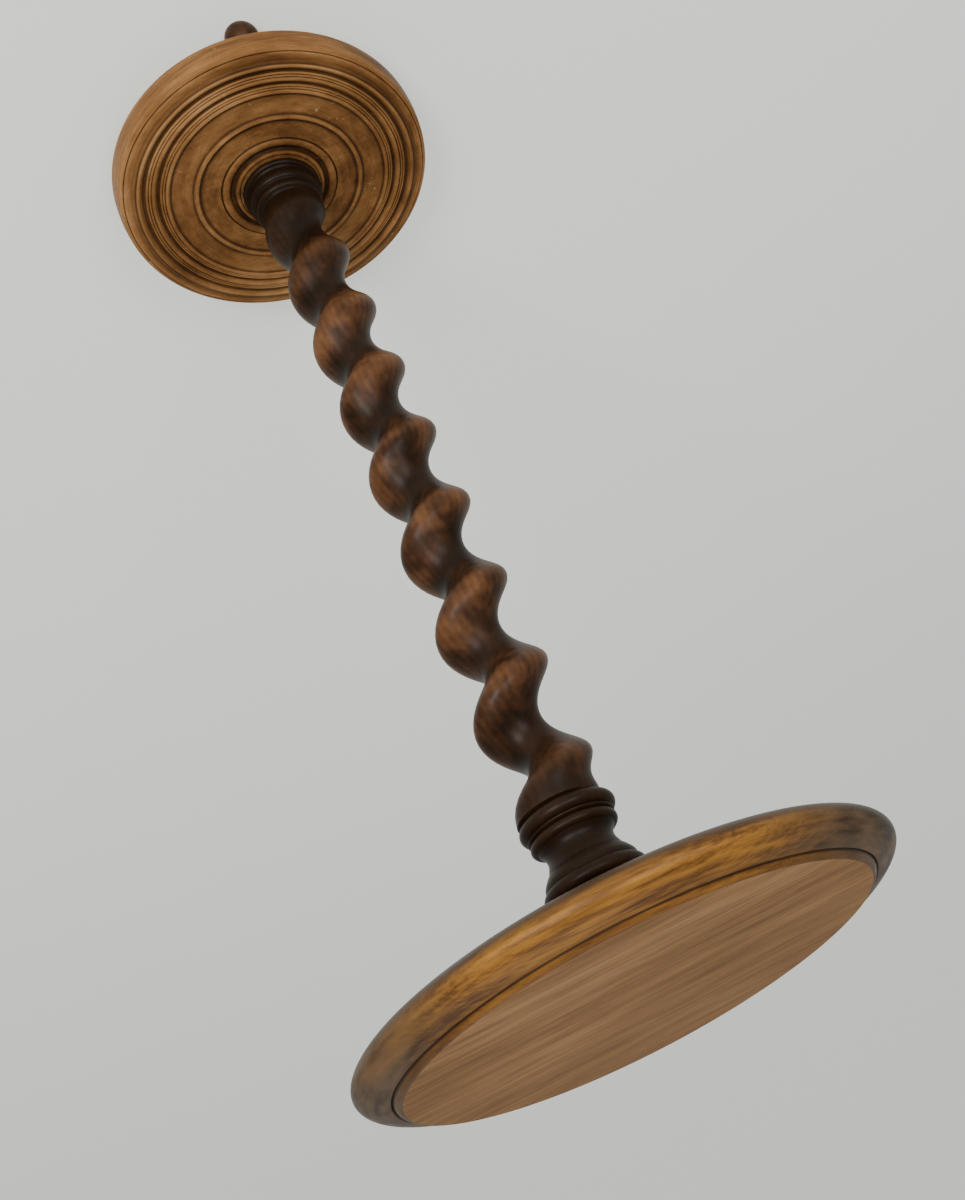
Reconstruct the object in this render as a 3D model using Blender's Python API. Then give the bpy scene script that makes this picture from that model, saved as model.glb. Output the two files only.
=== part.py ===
"""Revolving sculptor's stand in turned wood, 723 mm tall, with a round 300 mm top.

Every driving dimension is in millimetres and MM turns it into metres. Heights are measured from the
plane that the stand rests on. The base's lower rim is FOOT_HEIGHT above that plane, and the mechanism
under the top is laid out by its depth below the working face, which below() turns into a height.
The turning axis of the top is the world Z axis, and the front of the stand faces -Y.
"""

import math

import bmesh
import bpy
from mathutils import Vector

MM = 0.001
GAP = 0.3

# Overall
FOOT_HEIGHT = 20.0
FACE_HEIGHT = 723.0

# Round top with a raised face, a quirk and a bullnose edge
FACE_RADIUS = 129.2
QUIRK_RADIUS = 133.3
QUIRK_DEPTH = 3.6
TOP_THICKNESS = 25.0
NOSE_CENTRE_RADIUS = 123.0
NOSE_WIDTH = 27.0
NOSE_HALF_HEIGHT = 11.5
NOSE_START_ANGLE = 64.0

# Bearing block screwed up under the top
BLOCK_RADIUS = 44.0
BLOCK_BOTTOM = 49.8
BLOCK_EDGE_ROUND = 4.0
NUT_WELL_RADIUS = 14.0
NUT_WELL_FLOOR = 33.9
RACE_POCKET_RADIUS = 26.6
RACE_POCKET_ROOF = 41.4
BLOCK_SCREW_PITCH = 34.0
BLOCK_SCREW_SHOULDER = 38.0
BLOCK_SCREW_TIP = 14.2
BLOCK_SCREW_HEAD_RADIUS = 4.2
BLOCK_SCREW_HEAD = 2.7
BLOCK_SCREW_RADIUS = 2.0
SCREW_COUNT = 4

# Thrust bearing
RACE_RADIUS = 26.0
RACE_THICKNESS = 3.0
BALL_RADIUS = 3.0
BALL_PITCH = 18.0
BALL_COUNT = 10
BALL_DEPTH = 47.0
RACE_FACE_OFFSET = 2.3
CAGE_INNER_RADIUS = 13.0
CAGE_OUTER_RADIUS = 23.5
CAGE_THICKNESS = 1.6

# Spindle, bush, washer and nut
SPINDLE_RADIUS = 5.0
SPINDLE_SHOULDER_RADIUS = 8.0
SPINDLE_FLANGE_RADIUS = 9.0
SPINDLE_FLANGE_THICKNESS = 3.0
SPINDLE_THREAD_RADIUS = 4.0
SPINDLE_TIP = 101.0
SPINDLE_STEP = 48.5
SPINDLE_SEAT = 32.0
SPINDLE_END = 25.7
BUSH_BOTTOM = 44.4
BUSH_FLANGE_RADIUS = 12.0
BUSH_FLANGE_TOP = 32.0
BUSH_FLANGE_THICKNESS = 1.6
RETAINER_RADIUS = 10.0
RETAINER_THICKNESS = 1.5
NUT_RADIUS = 7.5
NUT_THICKNESS = 4.0

# Head of the column and the plate let into it
HEAD_TOP = 52.6
PLATE_RADIUS = 21.0
PLATE_THICKNESS = 3.0
PLATE_SCREW_PITCH = 14.5
PLATE_SCREW_HEAD_RADIUS = 3.4
PLATE_SCREW_RADIUS = 1.7
PLATE_SCREW_TIP = 74.0

# Twisted shaft of the column: a round section carried round the axis on a helix
TWIST_BOTTOM = 82.0
TWIST_TOP = 614.0
TWIST_PITCH = 64.14
TWIST_PHASE = -237.3
TWIST_PHASE_HEIGHT = 65.0
TWIST_ENVELOPE_LOW = 27.4
TWIST_ENVELOPE_HIGH = 29.3
TWIST_OFFSET_LOW = 5.6
TWIST_OFFSET_HIGH = 9.6
TWIST_RUN_IN = 22.0
TWIST_END_DEPTH = 0.25
TWIST_END_THINNING = 1.6
TWIST_STEPS_PER_TURN = 7

# Base, its tie bolt and its feet
BASE_RADIUS = 124.4
BASE_TOP = 46.8
BASE_RECESS_RADIUS = 94.0
BASE_RECESS = 4.0
BASE_WELL_RADIUS = 20.5
BASE_WELL = 11.0
TENON_RADIUS = 15.0
BOLT_RADIUS = 4.0
BOLT_TOP = 95.0
BOLT_HEAD_RADIUS = 7.5
BOLT_HEAD_THICKNESS = 5.0
WASHER_RADIUS = 18.5
WASHER_THICKNESS = 2.0
FOOT_COUNT = 3
FOOT_PITCH = 113.0
FOOT_FIRST_ANGLE = -100.0
FOOT_RADIUS = 13.0
FOOT_BALL_HEIGHT = 9.5
SPIGOT_RADIUS = 5.0
SPIGOT_LENGTH = 14.0


def below(depth):
    """Height of a level that lies depth under the working face."""
    return FACE_HEIGHT - depth


def rim(height):
    """Height of a level measured up from the base's lower rim."""
    return FOOT_HEIGHT + height


def arc(centre_radius, centre_height, width, height, first, last, steps):
    """Points of a round or elliptical arc in a turned profile, angles in degrees from outwards."""
    points = []
    for step in range(steps + 1):
        angle = math.radians(first + (last - first) * step / steps)
        points.append((centre_radius + width * math.cos(angle), centre_height + height * math.sin(angle)))
    return points


def material(name, colour, roughness, metallic):
    """A Principled material with one colour."""
    new_material = bpy.data.materials.new(name)
    new_material.use_nodes = True
    shader = new_material.node_tree.nodes["Principled BSDF"]
    shader.inputs["Base Color"].default_value = (*colour, 1.0)
    shader.inputs["Roughness"].default_value = roughness
    shader.inputs["Metallic"].default_value = metallic
    new_material.diffuse_color = (*colour, 1.0)
    return new_material


def add_object(name, mesh_data, finish, parent, place=(0.0, 0.0)):
    """Link a finished bmesh as a named object, smooth where it is round."""
    bmesh.ops.recalc_face_normals(mesh_data, faces=mesh_data.faces)
    mesh = bpy.data.meshes.new(name)
    mesh_data.to_mesh(mesh)
    mesh_data.free()
    mesh.shade_smooth()
    mesh.set_sharp_from_angle(angle=math.radians(35.0))
    mesh.materials.append(finish)
    piece = bpy.data.objects.new(name, mesh)
    bpy.context.collection.objects.link(piece)
    piece.parent = parent
    piece.location = (place[0] * MM, place[1] * MM, 0.0)
    return piece


def spun_mesh(profile, segments, closed):
    """Spin a profile of (radius, height) points round Z. A closed profile makes a ring."""
    mesh_data = bmesh.new()
    points = [mesh_data.verts.new((radius * MM, 0.0, height * MM)) for radius, height in profile]
    edges = [mesh_data.edges.new(pair) for pair in zip(points, points[1:])]
    if closed:
        edges.append(mesh_data.edges.new((points[-1], points[0])))
    bmesh.ops.spin(mesh_data, geom=points + edges, cent=(0.0, 0.0, 0.0), axis=(0.0, 0.0, 1.0),
                   angle=math.tau, steps=segments, use_duplicate=False)
    bmesh.ops.remove_doubles(mesh_data, verts=mesh_data.verts, dist=0.00001)
    return mesh_data


def turned(name, profile, segments, finish, parent, closed=False, place=(0.0, 0.0)):
    """A piece made on the lathe."""
    return add_object(name, spun_mesh(profile, segments, closed), finish, parent, place)


def cutter(name, profiles_and_places, segments):
    """Hidden cutting bodies, one for each (profile, place), kept in one object."""
    whole = bmesh.new()
    for profile, place in profiles_and_places:
        single = spun_mesh(profile, segments, False)
        bmesh.ops.recalc_face_normals(single, faces=single.faces)
        bmesh.ops.translate(single, verts=single.verts, vec=Vector((place[0] * MM, place[1] * MM, 0.0)))
        spare = bpy.data.meshes.new(name)
        single.to_mesh(spare)
        single.free()
        whole.from_mesh(spare)
        bpy.data.meshes.remove(spare)
    mesh = bpy.data.meshes.new(name)
    whole.to_mesh(mesh)
    whole.free()
    tool = bpy.data.objects.new(name, mesh)
    bpy.context.collection.objects.link(tool)
    tool.hide_render = True
    tool.display_type = 'WIRE'
    return tool


def drill(piece, tool):
    """Cut the tool's bodies out of the piece."""
    cut = piece.modifiers.new("drill", 'BOOLEAN')
    cut.operation = 'DIFFERENCE'
    cut.solver = 'EXACT'
    cut.object = tool


def around(pitch, count, first_angle=0.0):
    """Places evenly spaced on a circle."""
    places = []
    for index in range(count):
        angle = math.radians(first_angle + 360.0 * index / count)
        places.append((pitch * math.cos(angle), pitch * math.sin(angle)))
    return places


def rod_profile(radius, low, high):
    """A plain round rod between two heights."""
    return [(0.0, low), (radius, low), (radius, high), (0.0, high)]


def ring_profile(inner, outer, low, high):
    """A plain flat ring between two heights."""
    return [(inner, low), (outer, low), (outer, high), (inner, high)]


def empty_on_axis(name):
    """An empty on the turning axis that carries the pieces that move together."""
    empty = bpy.data.objects.new(name, None)
    bpy.context.collection.objects.link(empty)
    return empty


def make_top(finish, parent):
    """Round top, face up, with blind holes underneath for the block screws."""
    nose_height = below(TOP_THICKNESS - NOSE_HALF_HEIGHT)
    profile = [(0.0, below(0.0)), (FACE_RADIUS, below(0.0)), (FACE_RADIUS + 2.0, below(0.9)),
               (QUIRK_RADIUS, below(QUIRK_DEPTH))]
    profile += arc(NOSE_CENTRE_RADIUS, nose_height, NOSE_WIDTH, NOSE_HALF_HEIGHT, NOSE_START_ANGLE, -90.0, 8)
    profile.append((0.0, below(TOP_THICKNESS)))
    top = turned("turntable_top", profile, 48, finish, parent)
    hole = rod_profile(BLOCK_SCREW_RADIUS + GAP, below(TOP_THICKNESS + 2.0), below(BLOCK_SCREW_TIP - 0.5))
    places = around(BLOCK_SCREW_PITCH, SCREW_COUNT, 45.0)
    drill(top, cutter("top_screw_holes", [(hole, place) for place in places], 12))


def make_block(finish, parent):
    """Turned block with a well for the nut above and a pocket for the bearing below."""
    edge_radius = BLOCK_RADIUS - BLOCK_EDGE_ROUND
    edge_height = below(BLOCK_BOTTOM - BLOCK_EDGE_ROUND)
    top_level = below(TOP_THICKNESS + GAP)
    bore = SPINDLE_SHOULDER_RADIUS + GAP
    profile = [(NUT_WELL_RADIUS, top_level), (BLOCK_RADIUS, top_level)]
    profile += arc(edge_radius, edge_height, BLOCK_EDGE_ROUND, BLOCK_EDGE_ROUND, 0.0, -90.0, 4)
    profile += [(RACE_POCKET_RADIUS, below(BLOCK_BOTTOM)), (RACE_POCKET_RADIUS, below(RACE_POCKET_ROOF)),
                (bore, below(RACE_POCKET_ROOF)), (bore, below(NUT_WELL_FLOOR)),
                (NUT_WELL_RADIUS, below(NUT_WELL_FLOOR))]
    block = turned("bearing_block", profile, 32, finish, parent, closed=True)
    narrow = BLOCK_SCREW_RADIUS + GAP
    wide = BLOCK_SCREW_HEAD_RADIUS + 0.6
    shoulder = below(BLOCK_SCREW_SHOULDER)
    hole = [(0.0, below(BLOCK_BOTTOM + 1.0)), (wide, below(BLOCK_BOTTOM + 1.0)), (wide, shoulder),
            (narrow, shoulder), (narrow, top_level + 1.0), (0.0, top_level + 1.0)]
    places = around(BLOCK_SCREW_PITCH, SCREW_COUNT, 45.0)
    drill(block, cutter("block_screw_holes", [(hole, place) for place in places], 12))


def make_block_screws(finish, parent):
    """Round-headed wood screws that pull the block up against the top."""
    seat = below(BLOCK_SCREW_SHOULDER + GAP)
    crown = seat - BLOCK_SCREW_HEAD
    tip = below(BLOCK_SCREW_TIP)
    profile = [(0.0, crown), (BLOCK_SCREW_HEAD_RADIUS - 1.4, crown + 0.2),
               (BLOCK_SCREW_HEAD_RADIUS, crown + 1.4), (BLOCK_SCREW_HEAD_RADIUS, seat),
               (BLOCK_SCREW_RADIUS, seat), (BLOCK_SCREW_RADIUS, tip - 4.0), (0.0, tip)]
    for number, place in enumerate(around(BLOCK_SCREW_PITCH, SCREW_COUNT, 45.0), start=1):
        turned(f"block_screw_{number}", profile, 12, finish, parent, place=place)


def make_bush(finish, parent):
    """Flanged brass bush that turns on the spindle."""
    bore = SPINDLE_RADIUS + GAP
    shoulder = below(BUSH_FLANGE_TOP + BUSH_FLANGE_THICKNESS)
    profile = [(bore, below(BUSH_BOTTOM)), (SPINDLE_SHOULDER_RADIUS, below(BUSH_BOTTOM)),
               (SPINDLE_SHOULDER_RADIUS, shoulder), (BUSH_FLANGE_RADIUS, shoulder),
               (BUSH_FLANGE_RADIUS, below(BUSH_FLANGE_TOP)), (bore, below(BUSH_FLANGE_TOP))]
    turned("pivot_bush", profile, 24, finish, parent, closed=True)


def make_race(name, side, finish, parent):
    """Grooved thrust washer. side is 1 for the race above the balls and -1 for the one below."""
    bore = SPINDLE_SHOULDER_RADIUS + GAP
    centre = below(BALL_DEPTH)
    face = centre + side * RACE_FACE_OFFSET
    back = face + side * RACE_THICKNESS
    groove_radius = BALL_RADIUS + GAP
    edge_angle = math.degrees(math.asin(RACE_FACE_OFFSET / groove_radius))
    groove = arc(BALL_PITCH, centre, groove_radius, side * groove_radius, edge_angle, 180.0 - edge_angle, 4)
    profile = [(bore, back), (RACE_RADIUS, back), (RACE_RADIUS, face)] + groove + [(bore, face)]
    turned(name, profile, 28, finish, parent, closed=True)


def make_cage(finish, parent):
    """Brass ring that keeps the balls evenly spaced."""
    low = below(BALL_DEPTH) - CAGE_THICKNESS / 2.0
    high = low + CAGE_THICKNESS
    cage = turned("ball_cage", ring_profile(CAGE_INNER_RADIUS, CAGE_OUTER_RADIUS, low, high), 30,
                  finish, parent, closed=True)
    pocket = rod_profile(BALL_RADIUS + GAP, low - 1.0, high + 1.0)
    places = around(BALL_PITCH, BALL_COUNT)
    drill(cage, cutter("cage_pockets", [(pocket, place) for place in places], 10))


def make_balls(finish, parent):
    """Steel balls between the races."""
    for number, (x, y) in enumerate(around(BALL_PITCH, BALL_COUNT), start=1):
        ball = bmesh.new()
        bmesh.ops.create_uvsphere(ball, u_segments=12, v_segments=6, radius=BALL_RADIUS * MM)
        bmesh.ops.translate(ball, verts=ball.verts, vec=Vector((0.0, 0.0, below(BALL_DEPTH) * MM)))
        add_object(f"bearing_ball_{number:02d}", ball, finish, parent, place=(x, y))


def make_spindle(finish, parent):
    """Pivot pin screwed into the column, with a flange that the head plate holds down."""
    flange_top = below(HEAD_TOP + GAP + PLATE_THICKNESS + GAP)
    flange_bottom = flange_top - SPINDLE_FLANGE_THICKNESS
    profile = [(0.0, below(SPINDLE_TIP)), (2.4, below(SPINDLE_TIP - 1.0)),
               (SPINDLE_THREAD_RADIUS, below(SPINDLE_TIP - 4.0)), (SPINDLE_THREAD_RADIUS, flange_bottom),
               (SPINDLE_FLANGE_RADIUS, flange_bottom), (SPINDLE_FLANGE_RADIUS, flange_top),
               (SPINDLE_SHOULDER_RADIUS, flange_top), (SPINDLE_SHOULDER_RADIUS, below(SPINDLE_STEP)),
               (SPINDLE_RADIUS, below(SPINDLE_STEP)), (SPINDLE_RADIUS, below(SPINDLE_SEAT)),
               (SPINDLE_THREAD_RADIUS, below(SPINDLE_SEAT)), (SPINDLE_THREAD_RADIUS, below(SPINDLE_END)),
               (0.0, below(SPINDLE_END))]
    turned("pivot_spindle", profile, 24, finish, parent)


def make_retainer(finish, parent):
    """Washer and lock nut that keep the head on the spindle."""
    washer_low = below(SPINDLE_SEAT) + GAP
    washer_high = washer_low + RETAINER_THICKNESS
    bore = SPINDLE_THREAD_RADIUS + GAP
    turned("retaining_washer", ring_profile(bore, RETAINER_RADIUS, washer_low, washer_high), 24,
           finish, parent, closed=True)
    nut_low = washer_high + GAP
    nut = turned("lock_nut", rod_profile(NUT_RADIUS, nut_low, nut_low + NUT_THICKNESS), 6, finish, parent)
    drill(nut, cutter("nut_bore", [(rod_profile(bore, nut_low - 1.0, nut_low + NUT_THICKNESS + 1.0),
                                    (0.0, 0.0))], 24))


def make_head_plate(finish, parent):
    """Steel plate let into the column head, with countersunk holes."""
    low = below(HEAD_TOP + GAP + PLATE_THICKNESS)
    high = low + PLATE_THICKNESS
    plate = turned("head_plate", ring_profile(SPINDLE_SHOULDER_RADIUS + GAP, PLATE_RADIUS, low, high), 18,
                   finish, parent, closed=True)
    wide = PLATE_SCREW_HEAD_RADIUS + GAP
    narrow = PLATE_SCREW_RADIUS + GAP
    hole = [(0.0, low - 1.0), (narrow, low - 1.0), (narrow, low + 0.8), (wide, high), (wide, high + 1.0),
            (0.0, high + 1.0)]
    places = around(PLATE_SCREW_PITCH, SCREW_COUNT)
    drill(plate, cutter("plate_screw_holes", [(hole, place) for place in places], 12))


def make_plate_screws(finish, parent):
    """Countersunk screws that hold the plate to the column."""
    low = below(HEAD_TOP + GAP + PLATE_THICKNESS)
    high = low + PLATE_THICKNESS
    tip = below(PLATE_SCREW_TIP)
    profile = [(0.0, tip), (PLATE_SCREW_RADIUS, tip + 4.0), (PLATE_SCREW_RADIUS, low + 0.8),
               (PLATE_SCREW_HEAD_RADIUS, high - GAP), (0.0, high - GAP)]
    for number, place in enumerate(around(PLATE_SCREW_PITCH, SCREW_COUNT), start=1):
        turned(f"plate_screw_{number}", profile, 12, finish, parent, place=place)


def smooth_step(value):
    """0 below 0, 1 above 1 and a smooth rise between."""
    value = min(max(value, 0.0), 1.0)
    return value * value * (3.0 - 2.0 * value)


def twist_rings():
    """Rings (radius, height, offset, angle) of the shaft, top to bottom, grooves faded at the ends."""
    steps = round((TWIST_TOP - TWIST_BOTTOM) / TWIST_PITCH * TWIST_STEPS_PER_TURN)
    rings = []
    for step in range(steps + 1):
        height = TWIST_TOP + (TWIST_BOTTOM - TWIST_TOP) * step / steps
        share = (height - TWIST_BOTTOM) / (TWIST_TOP - TWIST_BOTTOM)
        envelope = TWIST_ENVELOPE_LOW + (TWIST_ENVELOPE_HIGH - TWIST_ENVELOPE_LOW) * share
        depth = smooth_step(min(height - TWIST_BOTTOM, TWIST_TOP - height) / TWIST_RUN_IN)
        offset = TWIST_OFFSET_LOW + (TWIST_OFFSET_HIGH - TWIST_OFFSET_LOW) * share
        offset *= TWIST_END_DEPTH + (1.0 - TWIST_END_DEPTH) * depth
        radius = envelope - offset - TWIST_END_THINNING * (1.0 - depth)
        angle = math.radians(TWIST_PHASE + 360.0 * (height - TWIST_PHASE_HEIGHT) / TWIST_PITCH)
        rings.append((radius, height, offset, angle))
    return rings


def column_rings():
    """Rings of the whole column: head recess, head mouldings, twist, foot mouldings, tenon, bolt hole."""
    recess_floor = below(HEAD_TOP + GAP + PLATE_THICKNESS + GAP)
    flange_floor = recess_floor - SPINDLE_FLANGE_THICKNESS - GAP
    hole_floor = below(SPINDLE_TIP + 1.0)
    head = [(SPINDLE_THREAD_RADIUS + GAP, hole_floor), (SPINDLE_THREAD_RADIUS + GAP, flange_floor),
            (SPINDLE_FLANGE_RADIUS + GAP, flange_floor), (SPINDLE_FLANGE_RADIUS + GAP, recess_floor),
            (PLATE_RADIUS + GAP, recess_floor), (PLATE_RADIUS + GAP, below(HEAD_TOP)),
            (27.5, below(HEAD_TOP)), (27.5, below(57.0)), (25.6, below(58.2))]
    head += arc(26.2, below(63.2), 3.8, 4.2, 75.0, -60.0, 4)
    head += [(26.8, below(70.6)), (24.4, below(74.2)), (22.0, below(76.4)), (19.8, below(82.4)),
             (20.0, below(87.0)), (23.0, below(90.2)), (26.2, below(93.0)), (25.2, below(97.0))]
    head += arc(22.9, below(102.4), 5.5, 4.7, 60.0, -75.0, 4)
    foot = [(23.4, rim(59.6)), (22.2, rim(57.6)), (24.2, rim(55.4)), (26.6, rim(51.0)), (26.8, rim(48.0)),
            (28.4, rim(45.6)), (29.2, rim(40.5)), (28.4, rim(35.4)), (27.6, rim(33.8)), (30.6, rim(32.4)),
            (31.0, rim(30.0)), (30.4, rim(27.3))]
    tenon_end = rim(BASE_WELL + 0.6)
    tenon = [(TENON_RADIUS, rim(27.3)), (TENON_RADIUS, tenon_end), (BOLT_RADIUS + GAP, tenon_end),
             (BOLT_RADIUS + GAP, BOLT_TOP + GAP)]
    rings = [(radius, height, 0.0, 0.0) for radius, height in head]
    rings += twist_rings()
    rings += [(radius, height, 0.0, 0.0) for radius, height in foot + tenon]
    return rings


def make_column(finish, parent):
    """One turned and carved post, twisted between its collars."""
    segments = 18
    column_mesh = bmesh.new()
    loops = []
    for radius, height, offset, angle in column_rings():
        centre = Vector((offset * math.cos(angle), offset * math.sin(angle), height))
        loop = []
        for index in range(segments):
            turn = math.tau * index / segments
            point = centre + Vector((radius * math.cos(turn), radius * math.sin(turn), 0.0))
            loop.append(column_mesh.verts.new(point * MM))
        loops.append(loop)
    for upper, lower in zip(loops, loops[1:]):
        for index in range(segments):
            following = (index + 1) % segments
            column_mesh.faces.new((upper[index], lower[index], lower[following], upper[following]))
    column_mesh.faces.new(loops[0])
    column_mesh.faces.new(loops[-1])
    column = add_object("column", column_mesh, finish, parent)
    floor_level = below(HEAD_TOP + GAP + PLATE_THICKNESS + GAP)
    hole = rod_profile(PLATE_SCREW_RADIUS + GAP, below(PLATE_SCREW_TIP + 0.5), floor_level + 1.0)
    places = around(PLATE_SCREW_PITCH, SCREW_COUNT)
    drill(column, cutter("column_screw_holes", [(hole, place) for place in places], 12))


def make_base(finish, parent):
    """Low turned disc with ringed top, hollowed a little underneath, bored for the tenon and the feet."""
    inner = TENON_RADIUS + GAP
    profile = [(inner, BASE_TOP), (32.4, BASE_TOP), (34.0, BASE_TOP + 0.5), (36.4, rim(26.0)),
               (38.5, rim(23.6)), (41.0, rim(26.0)), (44.6, rim(26.2)), (46.5, rim(24.8)), (61.0, rim(24.8)),
               (65.5, rim(27.0)), (69.0, rim(25.2)), (77.0, rim(24.2)), (85.0, rim(25.2)),
               (88.2, rim(26.4)), (90.5, rim(25.2)), (94.5, rim(23.4)), (98.6, rim(26.4)), (101.5, rim(24.8)),
               (105.5, rim(23.8)), (109.8, rim(27.0)), (113.0, rim(24.0)), (121.4, rim(22.4)),
               (122.8, rim(20.6)), (BASE_RADIUS, rim(8.0)), (BASE_RADIUS, rim(1.5)),
               (BASE_RADIUS - 1.5, rim(0.0)), (BASE_RECESS_RADIUS + 2.0, rim(0.0)),
               (BASE_RECESS_RADIUS, rim(BASE_RECESS)), (BASE_WELL_RADIUS, rim(BASE_RECESS)),
               (BASE_WELL_RADIUS, rim(BASE_WELL)), (inner, rim(BASE_WELL))]
    base = turned("base_disc", profile, 40, finish, parent, closed=True)
    hole = rod_profile(SPIGOT_RADIUS + GAP, rim(-2.0), rim(SPIGOT_LENGTH + 1.0))
    places = around(FOOT_PITCH, FOOT_COUNT, FOOT_FIRST_ANGLE)
    drill(base, cutter("foot_sockets", [(hole, place) for place in places], 16))


def make_feet(finish, parent):
    """Ball feet with a flat sole and a spigot that goes up into the base."""
    shoulder = rim(-GAP)
    shoulder_angle = math.degrees(math.asin((shoulder - FOOT_BALL_HEIGHT) / FOOT_RADIUS))
    sole_angle = -math.degrees(math.asin(FOOT_BALL_HEIGHT / FOOT_RADIUS))
    profile = [(0.0, rim(SPIGOT_LENGTH)), (SPIGOT_RADIUS, rim(SPIGOT_LENGTH)), (SPIGOT_RADIUS, shoulder)]
    profile += arc(0.0, FOOT_BALL_HEIGHT, FOOT_RADIUS, FOOT_RADIUS, shoulder_angle, sole_angle, 6)
    profile.append((0.0, 0.0))
    for number, place in enumerate(around(FOOT_PITCH, FOOT_COUNT, FOOT_FIRST_ANGLE), start=1):
        turned(f"ball_foot_{number}", profile, 16, finish, parent, place=place)


def make_tie_bolt(finish, parent):
    """Bolt and broad washer that pull the column's tenon down into the base."""
    washer_high = rim(BASE_WELL - GAP)
    washer_low = washer_high - WASHER_THICKNESS
    bore = BOLT_RADIUS + GAP
    turned("tie_washer", ring_profile(bore, WASHER_RADIUS, washer_low, washer_high), 32,
           finish, parent, closed=True)
    head_top = washer_low - GAP
    bolt = turned("tie_bolt", rod_profile(BOLT_HEAD_RADIUS, head_top - BOLT_HEAD_THICKNESS, head_top), 6,
                  finish, parent)
    shank = [(0.0, head_top - 2.0), (BOLT_RADIUS, head_top - 2.0), (BOLT_RADIUS, BOLT_TOP - 2.0),
             (BOLT_RADIUS - 1.5, BOLT_TOP), (0.0, BOLT_TOP)]
    join = bolt.modifiers.new("shank", 'BOOLEAN')
    join.operation = 'UNION'
    join.solver = 'EXACT'
    join.object = cutter("tie_bolt_shank", [(shank, (0.0, 0.0))], 24)


def main():
    """Build the whole stand."""
    for leftover in list(bpy.data.objects):
        bpy.data.objects.remove(leftover, do_unlink=True)
    walnut = material("column_wood", (0.085, 0.036, 0.016), 0.42, 0.0)
    honey = material("top_wood", (0.30, 0.135, 0.045), 0.30, 0.0)
    base_brown = material("base_wood", (0.21, 0.092, 0.032), 0.45, 0.0)
    steel = material("steel", (0.46, 0.46, 0.47), 0.35, 1.0)
    brass = material("brass", (0.62, 0.45, 0.18), 0.32, 1.0)
    stand = empty_on_axis("standing_pieces")
    head = empty_on_axis("turning_pieces")
    ball_train = empty_on_axis("ball_train")
    make_base(base_brown, stand)
    make_feet(walnut, stand)
    make_tie_bolt(steel, stand)
    make_column(walnut, stand)
    make_head_plate(steel, stand)
    make_plate_screws(steel, stand)
    make_spindle(steel, stand)
    make_race("lower_race", -1, steel, stand)
    make_retainer(steel, stand)
    make_race("upper_race", 1, steel, head)
    make_bush(brass, head)
    make_block(walnut, head)
    make_block_screws(steel, head)
    make_top(honey, head)
    make_cage(brass, ball_train)
    make_balls(steel, ball_train)


main()
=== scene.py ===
"""Revolving sculptor's stand in turned wood: twisted column, ringed base on ball feet, round top that spins.

Sizes of the mouldings are in millimetres, as a turner would note them, and MM turns them into metres.
Heights are taken from the frame: below() measures down from the working face and rim() up from the
base's lower rim. Everything is turned round the world Z axis except the feet, the screws and the balls.
"""

import math

import bpy
import numpy as np
from mathutils import Matrix, Vector


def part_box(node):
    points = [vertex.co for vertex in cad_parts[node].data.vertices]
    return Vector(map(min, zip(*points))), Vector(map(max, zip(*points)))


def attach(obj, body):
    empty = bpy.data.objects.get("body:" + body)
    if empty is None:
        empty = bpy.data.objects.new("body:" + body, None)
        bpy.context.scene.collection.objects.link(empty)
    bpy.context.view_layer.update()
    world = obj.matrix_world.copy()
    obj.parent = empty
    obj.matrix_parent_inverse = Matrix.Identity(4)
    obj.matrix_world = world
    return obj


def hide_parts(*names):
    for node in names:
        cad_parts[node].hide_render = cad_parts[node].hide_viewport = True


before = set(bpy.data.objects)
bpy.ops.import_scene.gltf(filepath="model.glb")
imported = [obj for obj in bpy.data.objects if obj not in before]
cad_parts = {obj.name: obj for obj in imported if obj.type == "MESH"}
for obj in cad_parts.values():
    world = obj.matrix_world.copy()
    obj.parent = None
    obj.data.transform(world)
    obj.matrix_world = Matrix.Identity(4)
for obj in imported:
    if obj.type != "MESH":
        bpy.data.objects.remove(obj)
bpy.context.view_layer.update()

MM = 0.001
FACE_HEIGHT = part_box("turntable_top")[1].z
RIM_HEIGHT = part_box("base_disc")[0].z

# Where the camera stands, and the directions of its right and its up
CAMERA_PLACE = Vector((0.0, -0.6725, 0.8502 + RIM_HEIGHT))
CAMERA_RIGHT = Vector((-0.9024, 0.1310, 0.4105))
CAMERA_UP = Vector((-0.4100, -0.5541, -0.7245))
CAMERA_LENS = 37.86
CAMERA_SHIFT = (-0.0929, -0.1090)

WORLD_STRENGTH = 0.50
FLOOR_GLOW = 0.58

# Top
FACE_RADIUS = 129.2
QUIRK_RADIUS = 133.3
TOP_THICKNESS = 25.0
NOSE_CENTRE = 123.0
NOSE_WIDTH = 27.0
NOSE_HALF_HEIGHT = 11.5

# Twist of the column
TWIST_BOTTOM = 60.0
TWIST_TOP = 108.0
TWIST_PITCH = 64.14
TWIST_PHASE = -237.3
TWIST_PHASE_HEIGHT = 45.0
TWIST_ENVELOPE = (27.4, 29.3)
TWIST_OFFSET = (5.7, 9.6)
TWIST_RUN_IN = 22.0
TWIST_STEP = 3.0

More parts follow.
